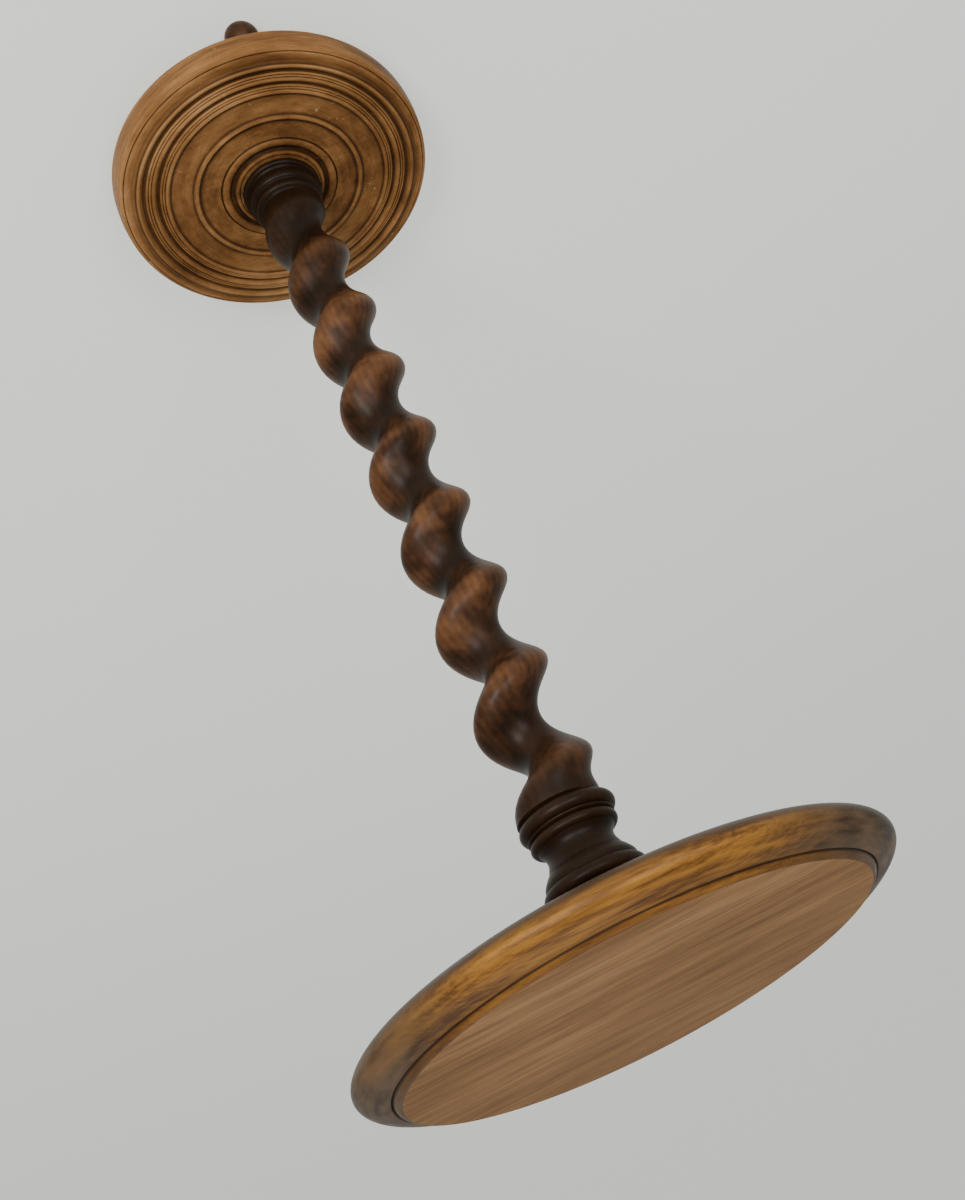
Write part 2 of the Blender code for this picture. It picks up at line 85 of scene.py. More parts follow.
# Colours of the woods, linear
FACE_DARK = (0.122, 0.061, 0.025)
FACE_MIDDLE = (0.208, 0.108, 0.045)
FACE_LIGHT = (0.29, 0.16, 0.072)
FACE_VESSEL = (0.07, 0.033, 0.013)
EDGE_DARK = (0.026, 0.009, 0.0022)
EDGE_BROWN = (0.074, 0.030, 0.0075)
EDGE_AMBER = (0.165, 0.072, 0.0145)
EDGE_LIGHT = (0.262, 0.116, 0.02)
END_DARK = (0.02, 0.011, 0.005)
END_LIGHT = (0.075, 0.044, 0.022)
END_WARM = (0.118, 0.062, 0.026)
# Painted shade on the lower half of the bullnose
UNDERSIDE_SHADE = (0.034, 0.019, 0.010)
# Dirt and painted shade: the colour that the hollows of the mouldings are darkened to
GRIME_AND_SHADE = (0.010, 0.005, 0.0025)
# Blackest stain, also the black of the painted shade at the column's ends
STAIN_AND_SHADE_BLACK = (0.009, 0.0045, 0.002)
STAIN_DARK = (0.031, 0.013, 0.0058)
STAIN_RED = (0.074, 0.031, 0.0128)
STAIN_RUBBED = (0.146, 0.063, 0.0245)
BASE_DARK = (0.046, 0.018, 0.0055)
BASE_BROWN = (0.118, 0.05, 0.0155)
BASE_GOLD = (0.196, 0.09, 0.03)
BASE_LIGHT = (0.325, 0.17, 0.068)
BASE_SCUFF = (0.420, 0.270, 0.140)

# Screws, balls and feet
SCREW_COUNT = 4
BALL_COUNT = 10
BALL_RADIUS = 3.0
BALL_PITCH = 18.0
BALL_DEPTH = 47.0
FOOT_COUNT = 3


# ---------------------------------------------------------------- profiles

def below(depth):
    """Height in metres of a level so many millimetres under the working face."""
    return FACE_HEIGHT - depth * MM


def rim(height):
    """Height in metres of a level so many millimetres over the base's lower rim."""
    return RIM_HEIGHT + height * MM


def eased(corners, steps=4):
    """Outline through (radius, height, rounding) corners, each rounded off over its rounding."""
    outline = []
    for index, (radius, height, rounding) in enumerate(corners):
        corner = Vector((radius, height))
        if rounding == 0.0 or index in (0, len(corners) - 1):
            outline.append(corner)
            continue
        before = Vector(corners[index - 1][:2]) - corner
        after = Vector(corners[index + 1][:2]) - corner
        reach = min(rounding, 0.49 * before.length, 0.49 * after.length)
        start = corner + before.normalized() * reach
        end = corner + after.normalized() * reach
        for step in range(steps + 1):
            share = step / steps
            outline.append(start.lerp(corner, share).lerp(corner.lerp(end, share), share))
    return outline


def arc(centre_radius, centre_height, width, height, first, last, steps):
    """Round or elliptical moulding, angles in degrees from straight outwards."""
    outline = []
    for step in range(steps + 1):
        angle = math.radians(first + (last - first) * step / steps)
        outline.append(Vector((centre_radius + width * math.cos(angle), centre_height + height * math.sin(angle))))
    return outline


def rings_at(outline, level):
    """Rings (x, y, height, radius) in metres on the Z axis, from an outline in millimetres."""
    return [(0.0, 0.0, level(point[1]), point[0] * MM) for point in outline]


# ---------------------------------------------------------------- turning

def deselect_all():
    """Leave nothing selected and no object in edit mode."""
    if bpy.context.object and bpy.context.object.mode != 'OBJECT':
        bpy.ops.object.mode_set(mode='OBJECT')
    bpy.ops.object.select_all(action='DESELECT')


def centre_piece(piece):
    """Put the piece's place into its mesh and leave its object at the origin."""
    deselect_all()
    piece.select_set(True)
    bpy.context.view_layer.objects.active = piece
    bpy.ops.object.transform_apply(location=True, rotation=True, scale=True)


def turn(name, rings, segments, bored=False, crease=34.0):
    """Turn a piece on the lathe: one circle is drawn out ring after ring.

    The ends close at a point each, or, on a bored piece, the last ring meets the first.
    """
    deselect_all()
    x, y, height, radius = rings[0]
    bpy.ops.mesh.primitive_circle_add(vertices=segments, radius=radius, location=(x, y, height))
    piece = bpy.context.object
    piece.name = name
    piece.data.name = name
    bpy.ops.object.mode_set(mode='EDIT')
    bpy.ops.mesh.select_all(action='SELECT')
    for ring in rings[1:]:
        move = (ring[0] - x, ring[1] - y, ring[2] - height)
        growth = ring[3] / radius
        x, y, height, radius = ring
        bpy.ops.mesh.extrude_region_move(TRANSFORM_OT_translate={"value": move})
        bpy.ops.transform.resize(value=(growth, growth, 1.0), center_override=(x, y, height))
    if bored:
        bpy.ops.mesh.select_all(action='SELECT')
        bpy.ops.mesh.remove_doubles(threshold=0.000002)
    else:
        bpy.ops.mesh.merge(type='CENTER')
        bpy.ops.mesh.select_all(action='DESELECT')
        bpy.ops.mesh.select_mode(type='VERT')
        bpy.ops.mesh.select_non_manifold()
        bpy.ops.mesh.merge(type='CENTER')
    bpy.ops.mesh.select_all(action='SELECT')
    bpy.ops.mesh.normals_make_consistent(inside=False)
    bpy.ops.object.mode_set(mode='OBJECT')
    bpy.ops.object.shade_smooth_by_angle(angle=math.radians(crease))
    centre_piece(piece)
    return piece


def drill(piece, holes, radius, low, high, segments=32):
    """Bore round holes between two heights through the piece, one at each place."""
    for x, y in holes:
        deselect_all()
        bpy.ops.mesh.primitive_cylinder_add(vertices=segments, radius=radius, depth=high - low,
                                            location=(x, y, (low + high) / 2.0))
        bit = bpy.context.object
        deselect_all()
        piece.select_set(True)
        bpy.context.view_layer.objects.active = piece
        cut = piece.modifiers.new("drill", 'BOOLEAN')
        cut.operation = 'DIFFERENCE'
        cut.solver = 'EXACT'
        cut.object = bit
        bpy.ops.object.modifier_apply(modifier=cut.name)
        bpy.data.objects.remove(bit)


def centre_of(node):
    """Middle of a CAD node in plan."""
    low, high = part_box(node)
    return (low.x + high.x) / 2.0, (low.y + high.y) / 2.0


def copies_at(pattern, names, places):
    """Copies of a piece turned on the Z axis, each with its own mesh, at the places given."""
    made = []
    for name, (x, y) in zip(names, places):
        copy = pattern.copy()
        copy.data = pattern.data.copy()
        copy.name = name
        copy.data.name = name
        bpy.context.collection.objects.link(copy)
        copy.location = (x, y, 0.0)
        centre_piece(copy)
        made.append(copy)
    bpy.data.objects.remove(pattern)
    return made


def mark_hollows(piece, rings, reach, depth):
    """Store how hollow (up to 1) or how proud (down to -1) the moulding is round each vertex."""
    outline = np.array([(ring[3], ring[2]) for ring in rings])
    step = np.r_[0.0, np.cumsum(np.hypot(*np.diff(outline, axis=0).T))]
    measure = np.zeros(len(outline))
    for span in (reach, 2.0 * reach):
        before = np.array([np.interp(step - span, step, outline[:, axis]) for axis in (0, 1)]).T
        after = np.array([np.interp(step + span, step, outline[:, axis]) for axis in (0, 1)]).T
        chord = after - before
        chord /= np.maximum(np.linalg.norm(chord, axis=1), 1e-9)[:, None]
        sag = (outline - (before + after) / 2.0) @ np.array([[0.0, 1.0], [-1.0, 0.0]])
        side = (sag * chord).sum(axis=1)
        measure = measure + side / (depth * span / reach)
    mesh = piece.data
    places = np.empty(len(mesh.vertices) * 3)
    mesh.vertices.foreach_get("co", places)
    places = places.reshape(-1, 3)
    spots = np.c_[np.hypot(places[:, 0], places[:, 1]), places[:, 2]]
    nearest = np.array([np.argmin(((outline - spot) ** 2).sum(axis=1)) for spot in spots])
    values = np.clip(measure[nearest], -1.0, 1.0)
    attribute = mesh.attributes.new("hollow", 'FLOAT', 'POINT')
    attribute.data.foreach_set("value", values.astype(np.float32))


# ---------------------------------------------------------------- finishes

def place_node(tree, kind, inputs=(), **settings):
    """Add a shader node. An input is given a value, or the socket that feeds it."""
    node = tree.nodes.new("ShaderNode" + kind)
    for setting, value in settings.items():
        setattr(node, setting, value)
    for socket, value in dict(inputs).items():
        if isinstance(value, bpy.types.NodeSocket):
            tree.links.new(value, node.inputs[socket])
        else:
            node.inputs[socket].default_value = value
    return node


def sum_of(tree, operation, first, second=0.0, third=0.0):
    """Result of a Math node."""
    return place_node(tree, "Math", {0: first, 1: second, 2: third}, operation=operation).outputs[0]


def blend_colour(tree, share, first, second, blend='MIX'):
    """Colour that goes from first to second as share rises."""
    mix = place_node(tree, "Mix", {0: share, 6: first, 7: second}, data_type='RGBA', blend_type=blend)
    return mix.outputs[2]


def ramp(tree, value, stops):
    """Colour ramp through (position, colour) stops."""
    node = place_node(tree, "ValToRGB", {0: value})
    elements = node.color_ramp.elements
    while len(elements) < len(stops):
        elements.new(0.5)
    for element, (position, colour) in zip(elements, stops):
        element.position = position
        element.color = (*colour, 1.0)
    return node.outputs[0]


def span(tree, value, low, high, to_low=0.0, to_high=1.0):
    """Value stretched from one range to another and held inside it, with soft ends."""
    node = place_node(tree, "MapRange", {"Value": value, "From Min": low, "From Max": high, "To Min": to_low,
                                         "To Max": to_high}, interpolation_type='SMOOTHSTEP')
    return node.outputs[0]


def new_finish(name):
    """Material with an object-space vector ready for its patterns."""
    finish = bpy.data.materials.new(name)
    finish.use_nodes = True
    tree = finish.node_tree
    place = place_node(tree, "TexCoord").outputs["Object"]
    return finish, tree, tree.nodes["Principled BSDF"], place


def stretched(tree, place, stretch, origin=(0.0, 0.0, 0.0), turn_to=(0.0, 0.0, 0.0)):
    """Pattern space pulled out along the grain."""
    return place_node(tree, "Mapping", {"Vector": place, "Location": origin, "Rotation": turn_to,
                                        "Scale": stretch}).outputs[0]


def noise(tree, place, scale, detail=3.0, roughness=0.55):
    """Plain noise value."""
    return place_node(tree, "TexNoise", {"Vector": place, "Scale": scale, "Detail": detail,
                                         "Roughness": roughness}).outputs[0]


def growth_rings(tree, place, direction, spacing, waver):
    """Year rings round a pith line, a little out of true. spacing is in millimetres."""
    scale = math.tau / (20.0 * spacing * MM)
    return place_node(tree, "TexWave", {"Vector": place, "Scale": scale, "Distortion": waver, "Detail": 2.0,
                                        "Detail Scale": 0.12, "Detail Roughness": 0.6},
                      wave_type='RINGS', rings_direction=direction, wave_profile='SIN').outputs[0]


def from_axis(tree, place):
    """Distance from the turning axis."""
    parts = place_node(tree, "SeparateXYZ", {0: place})
    flat = place_node(tree, "CombineXYZ", {0: parts.outputs[0], 1: parts.outputs[1], 2: 0.0}).outputs[0]
    return place_node(tree, "VectorMath", {0: flat}, operation='LENGTH').outputs["Value"], parts


def finish_surface(tree, shader, colour, roughness, relief, strength, distance):
    """Join colour, roughness and relief to the shader."""
    tree.links.new(colour, shader.inputs["Base Color"])
    tree.links.new(roughness, shader.inputs["Roughness"])
    bump = place_node(tree, "Bump", {"Height": relief, "Strength": strength, "Distance": distance})
    tree.links.new(bump.outputs[0], shader.inputs["Normal"])


def layers(tree, base, *parts):
    """Tone made of a base value and of patterns, each centred on nothing and weighted."""
    tone = base
    for pattern, weight in parts:
        centred = sum_of(tree, 'SUBTRACT', pattern, 0.5)
        tone = sum_of(tree, 'MULTIPLY_ADD', centred, weight, tone)
    return tone


def round_the_axis(tree, radius, parts, along):
    """Pattern space wrapped round the turning axis, drawn out along the turning."""
    angle = sum_of(tree, 'ARCTAN2', parts.outputs[1], parts.outputs[0])
    across = sum_of(tree, 'MULTIPLY', sum_of(tree, 'COSINE', angle), along)
    beside = sum_of(tree, 'MULTIPLY', sum_of(tree, 'SINE', angle), along)
    deep = sum_of(tree, 'MULTIPLY_ADD', parts.outputs[2], 2.0, sum_of(tree, 'MULTIPLY', radius, -0.75))
    return place_node(tree, "CombineXYZ", {0: across, 1: beside, 2: deep}).outputs[0]


def hollow_mark(tree):
    """How hollow the moulding is, from the mark on its vertices."""
    return place_node(tree, "Attribute", attribute_name="hollow").outputs["Fac"]


def waxed_face_finish():
    """Working face: matt red-brown board with straight fine grain."""
    finish, tree, shader, place = new_finish("waxed_face")
    fibre = noise(tree, stretched(tree, place, (0.045, 1.0, 1.0)), 430.0, 5.0, 0.75)
    band = noise(tree, stretched(tree, place, (0.08, 1.0, 1.0)), 95.0, 3.0, 0.6)
    cloud = noise(tree, stretched(tree, place, (0.4, 1.0, 1.0)), 14.0, 2.0, 0.5)
    pore = noise(tree, stretched(tree, place, (0.022, 1.0, 1.0), (0.3, 0.1, 0.0)), 1150.0, 2.0, 0.5)
    tone = layers(tree, 0.5, (fibre, 1.7), (band, 0.8), (cloud, 1.0))
    colour = ramp(tree, tone, [(0.15, FACE_DARK), (0.5, FACE_MIDDLE), (0.85, FACE_LIGHT)])
    vessel = sum_of(tree, 'MULTIPLY', span(tree, pore, 0.60, 0.72), 0.42)
    colour = blend_colour(tree, vessel, colour, (*FACE_VESSEL, 1.0))
    shader.inputs["Specular IOR Level"].default_value = 0.05
    roughness = sum_of(tree, 'MULTIPLY_ADD', fibre, 0.25, 0.46)
    finish_surface(tree, shader, colour, roughness, sum_of(tree, 'SUBTRACT', fibre, pore), 0.35, 0.0002)
    return finish


def varnished_edge_finish():
    """Edge of the top: amber varnish, dark streaks along the board, grey-brown end grain, painted shade over the
    ovolo and quirk and on the lower half of the bullnose, dirt and painted shade in the hollows.
    """
    finish, tree, shader, place = new_finish("varnished_edge")
    radius, parts = from_axis(tree, place)
    fibre = noise(tree, stretched(tree, place, (0.03, 1.0, 1.0)), 480.0, 4.0, 0.7)
    streak = noise(tree, round_the_axis(tree, radius, parts, 0.026), 150.0, 3.0, 0.60)
    patch = noise(tree, stretched(tree, place, (0.4, 1.0, 1.3), (0.21, 0.0, 0.0)), 26.0, 3.0, 0.6)
    tone = layers(tree, 0.52, (fibre, 0.65), (streak, 1.10), (patch, 0.60))
    colour = ramp(tree, tone, [(0.12, EDGE_DARK), (0.38, EDGE_BROWN), (0.58, EDGE_AMBER), (0.90, EDGE_LIGHT)])
    side_on = sum_of(tree, 'ABSOLUTE', parts.outputs[0])
    end_share = sum_of(tree, 'MULTIPLY_ADD', sum_of(tree, 'SUBTRACT', patch, 0.5), 0.05, side_on)
    end_grain = span(tree, end_share, 0.056, 0.120)
    wrapped = round_the_axis(tree, radius, parts, 0.055)
    wear = noise(tree, wrapped, 85.0, 4.0, 0.6)
    stain = noise(tree, wrapped, 30.0, 3.0, 0.6)
    end_colour = ramp(tree, layers(tree, 0.46, (wear, 1.3), (stain, 1.5)),
                      [(0.20, END_DARK), (0.55, END_LIGHT), (0.90, END_WARM)])
    colour = blend_colour(tree, sum_of(tree, 'MULTIPLY', end_grain, 0.94), colour, end_colour)
    # Painted shade: the ovolo band and the quirk on the upper part of the edge are darkened to brown
    quirk = sum_of(tree, 'MULTIPLY', span(tree, radius, 0.1375, 0.1320), 0.46)
    on_upper = sum_of(tree, 'GREATER_THAN', parts.outputs[2], below(6.0))
    colour = blend_colour(tree, sum_of(tree, 'MULTIPLY', quirk, on_upper), colour, (*EDGE_BROWN, 1.0))
    # Hollows darkened: dirt and painted shade
    grime_and_shade = sum_of(tree, 'MULTIPLY', span(tree, hollow_mark(tree), 0.0, 0.6), 0.82)
    colour = blend_colour(tree, grime_and_shade, colour, (*GRIME_AND_SHADE, 1.0))
    # Painted shade: the lower half of the bullnose is darkened, more so towards the bottom
    underside_shade = sum_of(tree, 'MULTIPLY', span(tree, parts.outputs[2], below(12.5), below(19.5)), 0.88)
    colour = blend_colour(tree, underside_shade, colour, (*UNDERSIDE_SHADE, 1.0))
    shader.inputs["Specular IOR Level"].default_value = 0.10
    roughness = sum_of(tree, 'MULTIPLY_ADD', streak, 0.25, 0.27)
    finish_surface(tree, shader, colour, roughness, layers(tree, 0.5, (fibre, 0.6), (streak, 0.6)), 0.22, 0.0003)
    return finish


def stained_finish(name, moulding_stain_and_shade):
    """Dark stained wood: rubbed red-brown where it stands proud, nearly black in the hollows from dirt and painted
    shade, darkened at the column's ends and on the bearing block, partly stain and partly painted shade.
    """
    finish, tree, shader, place = new_finish(name)
    radius, parts = from_axis(tree, place)
    pith = stretched(tree, place, (1.0, 1.0, 0.24), (0.011, 0.026, 0.0))
    rings = growth_rings(tree, pith, 'Z', 5.2, 4.5)
    fibre = noise(tree, stretched(tree, place, (1.0, 1.0, 0.10)), 620.0, 4.0, 0.62)
    cloud = noise(tree, stretched(tree, place, (1.0, 1.0, 0.8)), 30.0, 4.0, 0.55)
    rub = noise(tree, stretched(tree, place, (1.0, 1.0, 0.9), (0.4, 0.0, 0.0)), 70.0, 2.0, 0.5)
    hollow = hollow_mark(tree)
    tone = layers(tree, 0.42, (rings, 0.07), (fibre, 0.18), (cloud, 1.00), (rub, 0.85))
    # Lighter on the crests where the wood is rubbed, darker in the grooves from dirt and painted shade
    tone = sum_of(tree, 'MULTIPLY_ADD', hollow, -0.20, tone)
    colour = ramp(tree, tone, [(0.08, STAIN_AND_SHADE_BLACK), (0.38, STAIN_DARK), (0.62, STAIN_RED), (0.95, STAIN_RUBBED)])
    # Column head, bearing block, column foot and feet darkened towards black: partly a darker stain, partly
    # painted shade under the top and next to the base
    turned = sum_of(tree, 'MAXIMUM', span(tree, parts.outputs[2], below(150.0), below(100.0)),
                    span(tree, parts.outputs[2], rim(190.0), rim(55.0)))
    colour = blend_colour(tree, sum_of(tree, 'MULTIPLY', turned, moulding_stain_and_shade), colour, (*STAIN_AND_SHADE_BLACK, 1.0))
    # Grooves and hollows darkened: dirt and painted shade
    grime_and_shade = sum_of(tree, 'MULTIPLY', span(tree, hollow, 0.35, 1.0), 0.55)
    colour = blend_colour(tree, grime_and_shade, colour, (*GRIME_AND_SHADE, 1.0))
    shader.inputs["Specular IOR Level"].default_value = 0.09
    roughness = sum_of(tree, 'MULTIPLY_ADD', cloud, 0.28, 0.25)
    relief = layers(tree, 0.5, (rings, 0.06), (fibre, 0.45), (rub, 0.6))
    finish_surface(tree, shader, colour, roughness, relief, 0.30, 0.0005)
    return finish


def ringed_base_finish():
    """Base: golden brown board rubbed along the turning, tool lines, dirt and painted shade in the grooves,
    painted shade towards the column's foot, light scuffs.
    """
    finish, tree, shader, place = new_finish("ringed_base")
    radius, parts = from_axis(tree, place)
    around = round_the_axis(tree, radius, parts, 0.022)
    streak = noise(tree, around, 210.0, 4.0, 0.68)
    broad = noise(tree, around, 62.0, 3.0, 0.6)
    lathe = noise(tree, round_the_axis(tree, radius, parts, 0.006), 1400.0, 2.0, 0.7)
    fibre = noise(tree, stretched(tree, place, (0.06, 1.0, 1.0)), 420.0, 4.0, 0.6)
    figure = noise(tree, stretched(tree, place, (0.25, 1.0, 1.0), (0.0, 0.07, 0.0)), 48.0, 3.0, 0.6)
    side_light = noise(tree, stretched(tree, place, (1.0, 1.0, 1.0)), 12.0, 1.0, 0.5)
    hollow = hollow_mark(tree)
    tone = layers(tree, 0.50, (streak, 0.62), (broad, 0.85), (lathe, 0.26), (fibre, 0.20), (figure, 0.22),
                  (side_light, 0.6))
    # Lighter on the ridges, darker in the grooves from dirt and painted shade
    tone = sum_of(tree, 'MULTIPLY_ADD', hollow, -0.13, tone)
    # Painted shade: darker towards the column's foot
    column_foot_shade = span(tree, radius, 0.070, 0.030)
    tone = sum_of(tree, 'MULTIPLY_ADD', column_foot_shade, -0.22, tone)
    colour = ramp(tree, tone, [(0.08, BASE_DARK), (0.36, BASE_BROWN), (0.60, BASE_GOLD), (0.92, BASE_LIGHT)])
    scuff_place = round_the_axis(tree, radius, parts, 0.075)
    scuff = sum_of(tree, 'MULTIPLY', span(tree, noise(tree, scuff_place, 330.0, 2.0, 0.5), 0.66, 0.74),
                   span(tree, noise(tree, place, 26.0, 1.0, 0.5), 0.52, 0.68))
    colour = blend_colour(tree, sum_of(tree, 'MULTIPLY', scuff, 0.55), colour, (*BASE_SCUFF, 1.0))
    # Grooves darkened: dirt and painted shade
    grime_and_shade = sum_of(tree, 'MULTIPLY', span(tree, hollow, 0.30, 1.0), 0.62)
    colour = blend_colour(tree, grime_and_shade, colour, (*GRIME_AND_SHADE, 1.0))
    shader.inputs["Specular IOR Level"].default_value = 0.05
    roughness = sum_of(tree, 'MULTIPLY_ADD', broad, 0.22, 0.34)
    relief = layers(tree, 0.5, (lathe, 0.9), (fibre, 0.7), (streak, 0.5))
    finish_surface(tree, shader, colour, roughness, relief, 0.32, 0.0003)
    return finish


def metal_finish(name, colour, roughness):
    """Machined metal with fine tool marks and a slight bloom."""
    finish, tree, shader, place = new_finish(name)
    radius, parts = from_axis(tree, place)
    marks_place = place_node(tree, "CombineXYZ", {0: radius, 1: 0.0, 2: parts.outputs[2]}).outputs[0]
    marks = noise(tree, marks_place, 3000.0, 2.0, 0.6)
    bloom = noise(tree, place, 120.0, 3.0, 0.6)
    light = tuple(min(1.0, part * 1.12) for part in colour)
    dark = tuple(part * 0.72 for part in colour)
    shade = ramp(tree, bloom, [(0.35, dark), (0.65, light)])
    shader.inputs["Metallic"].default_value = 1.0
    finish_surface(tree, shader, shade, sum_of(tree, 'MULTIPLY_ADD', bloom, 0.22, roughness - 0.1),
                   marks, 0.15, 0.0001)
    return finish


# ---------------------------------------------------------------- pieces

def dress(piece, finish, body, slot, *nodes):
    """Give a piece its finish and body, and let it stand for its CAD nodes."""
    piece.data.materials.clear()
    piece.data.materials.append(finish)
    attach(piece, body)
    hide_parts(*nodes)


def make_top(edge_finish, face_finish):
    """Round top: flat waxed face, small ovolo, quirk and full varnished bullnose."""
    quirk_depth = 3.9
    start_angle = math.degrees(math.acos((QUIRK_RADIUS + 0.9 - NOSE_CENTRE) / NOSE_WIDTH))
    nose_depth = TOP_THICKNESS - NOSE_HALF_HEIGHT
    outline = [Vector((radius, 0.0)) for radius in (1.5, 20.0, 45.0, 70.0, 95.0, 115.0, 126.0)]
    outline += eased([(127.0, 0.0, 0.0), (FACE_RADIUS, 0.0, 0.5), (FACE_RADIUS + 1.6, 0.5, 1.0),
                      (FACE_RADIUS + 3.4, 2.6, 1.0), (QUIRK_RADIUS, quirk_depth, 0.0)])
    outline += arc(NOSE_CENTRE, nose_depth, NOSE_WIDTH, -NOSE_HALF_HEIGHT, start_angle, -90.0, 40)
    outline += [Vector((radius, TOP_THICKNESS)) for radius in (110.0, 85.0, 60.0, 44.0, 25.0, 1.5)]
    rings = rings_at(outline, below)
    piece = turn("round_top", rings, 256)
    mark_hollows(piece, rings, 1.4 * MM, 0.45 * MM)
    screws = [centre_of(f"block_screw_{number}") for number in range(1, SCREW_COUNT + 1)]
    drill(piece, screws, 2.3 * MM, below(13.7), below(TOP_THICKNESS + 1.0))
    dress(piece, edge_finish, "head", "top_wood", "turntable_top")
    piece.data.materials.append(face_finish)
    for face in piece.data.polygons:
        on_face = face.center.z > below(0.3) and face.center.xy.length < FACE_RADIUS * MM
        face.material_index = 1 if on_face else 0


def twist_section(height):
    """Envelope, offset and share of full depth of the twist at a world height in millimetres."""
    top = FACE_HEIGHT / MM - TWIST_TOP
    bottom = RIM_HEIGHT / MM + TWIST_BOTTOM
    share = (height - bottom) / (top - bottom)
    envelope = TWIST_ENVELOPE[0] + (TWIST_ENVELOPE[1] - TWIST_ENVELOPE[0]) * share
    offset = TWIST_OFFSET[0] + (TWIST_OFFSET[1] - TWIST_OFFSET[0]) * share
    run = max(0.0, min(1.0, (height - bottom) / TWIST_RUN_IN, (top - height) / TWIST_RUN_IN))
    return envelope, offset, run * run * (3.0 - 2.0 * run)


def twist_rings():
    """Rings of the twisted shaft from its top to its bottom. The groove fades out at both ends."""
    top = FACE_HEIGHT / MM - TWIST_TOP
    bottom = RIM_HEIGHT / MM + TWIST_BOTTOM
    zero = RIM_HEIGHT / MM + TWIST_PHASE_HEIGHT
    steps = round((top - bottom) / TWIST_STEP)
    rings = []
    for step in range(steps + 1):
        height = top + (bottom - top) * step / steps
        envelope, offset, depth = twist_section(height)
        offset *= 0.25 + 0.75 * depth
        angle = math.radians(TWIST_PHASE + 360.0 * (height - zero) / TWIST_PITCH)
        rings.append((offset * math.cos(angle) * MM, offset * math.sin(angle) * MM, height * MM,
                      (envelope - offset - 1.6 * (1.0 - depth)) * MM))
    return rings


def mark_twist(piece):
    """Mark how deep each vertex of the twisted shaft lies: 1 in the groove, -1 on the crest."""
    marks = piece.data.attributes["hollow"].data
    for vertex in piece.data.vertices:
        if rim(TWIST_BOTTOM) < vertex.co.z < below(TWIST_TOP) and vertex.co.xy.length > 8.0 * MM:
            envelope, offset, depth = twist_section(vertex.co.z / MM)
            middle = envelope - offset
            marks[vertex.index].value = max(-1.0, min(1.0, depth * (middle - vertex.co.xy.length / MM) / offset))


def make_column(finish):
    """Column: head mouldings, twisted shaft, foot mouldings, tenon, and the holes in its two ends."""
    recess = [Vector(point) for point in ((1.0, 102.0), (4.3, 102.0), (4.3, 59.5), (9.3, 59.5), (9.3, 56.2),
                                          (21.3, 56.2))]
    head = eased([(21.3, 53.0, 0.0), (21.3, 52.6, 0.2), (27.5, 52.6, 0.5), (27.5, 56.8, 0.6),
                  (25.6, 58.2, 0.8), (26.8, 58.9, 0.0)])
    head += arc(26.2, 63.2, 3.8, -4.2, 82.0, -76.0, 16)
    head += eased([(27.2, 68.0, 0.0), (26.8, 70.6, 1.0), (24.6, 73.8, 1.5), (23.4, 75.2, 0.2),
                   (22.4, 75.6, 0.3), (21.6, 77.6, 0.0)])
    head += eased([(21.0, 79.0, 0.0), (19.6, 82.4, 3.0), (19.9, 86.6, 2.5), (22.6, 90.0, 0.0)])
    head += arc(22.2, 93.0, 3.5, -3.2, 62.0, -72.0, 12)
    head += eased([(24.9, 96.3, 0.0), (25.7, 96.8, 0.2), (25.9, 97.4, 0.2), (25.0, 97.9, 0.0)])
    head += arc(22.9, 102.4, 5.5, -4.7, 68.0, -80.0, 20)
    foot = eased([(23.4, 59.4, 0.0), (22.0, 58.2, 0.6), (22.6, 56.4, 0.5), (23.9, 55.4, 0.0)])
    foot += arc(23.3, 51.4, 3.6, 3.9, 75.0, -68.0, 12)
    foot += eased([(25.0, 47.4, 0.0), (26.3, 46.9, 0.3), (26.6, 46.4, 0.0)])
    foot += arc(25.4, 40.2, 3.9, 6.0, 76.0, -74.0, 16)
    foot += eased([(26.6, 34.2, 0.0), (27.4, 33.6, 0.3), (28.0, 33.0, 0.0)])
    foot += arc(28.2, 30.1, 2.9, 2.9, 80.0, -80.0, 12)
    foot += [Vector(point) for point in ((28.0, 27.2), (15.0, 27.2), (15.0, 12.4), (14.2, 11.6), (4.3, 11.6),
                                         (4.3, 75.3), (1.0, 75.3))]
    rings = rings_at(recess + head, below) + twist_rings() + rings_at(foot, rim)
    piece = turn("twisted_column", rings, 96, crease=40.0)
    mark_hollows(piece, rings, 1.4 * MM, 0.5 * MM)
    mark_twist(piece)
    dress(piece, finish, "stand", "column_wood", "column")


def bead(centre, half_width, base, height, steps=8):
    """Small half-round bead in the base's top."""
    return arc(centre, base, half_width, height, 180.0, 0.0, steps)


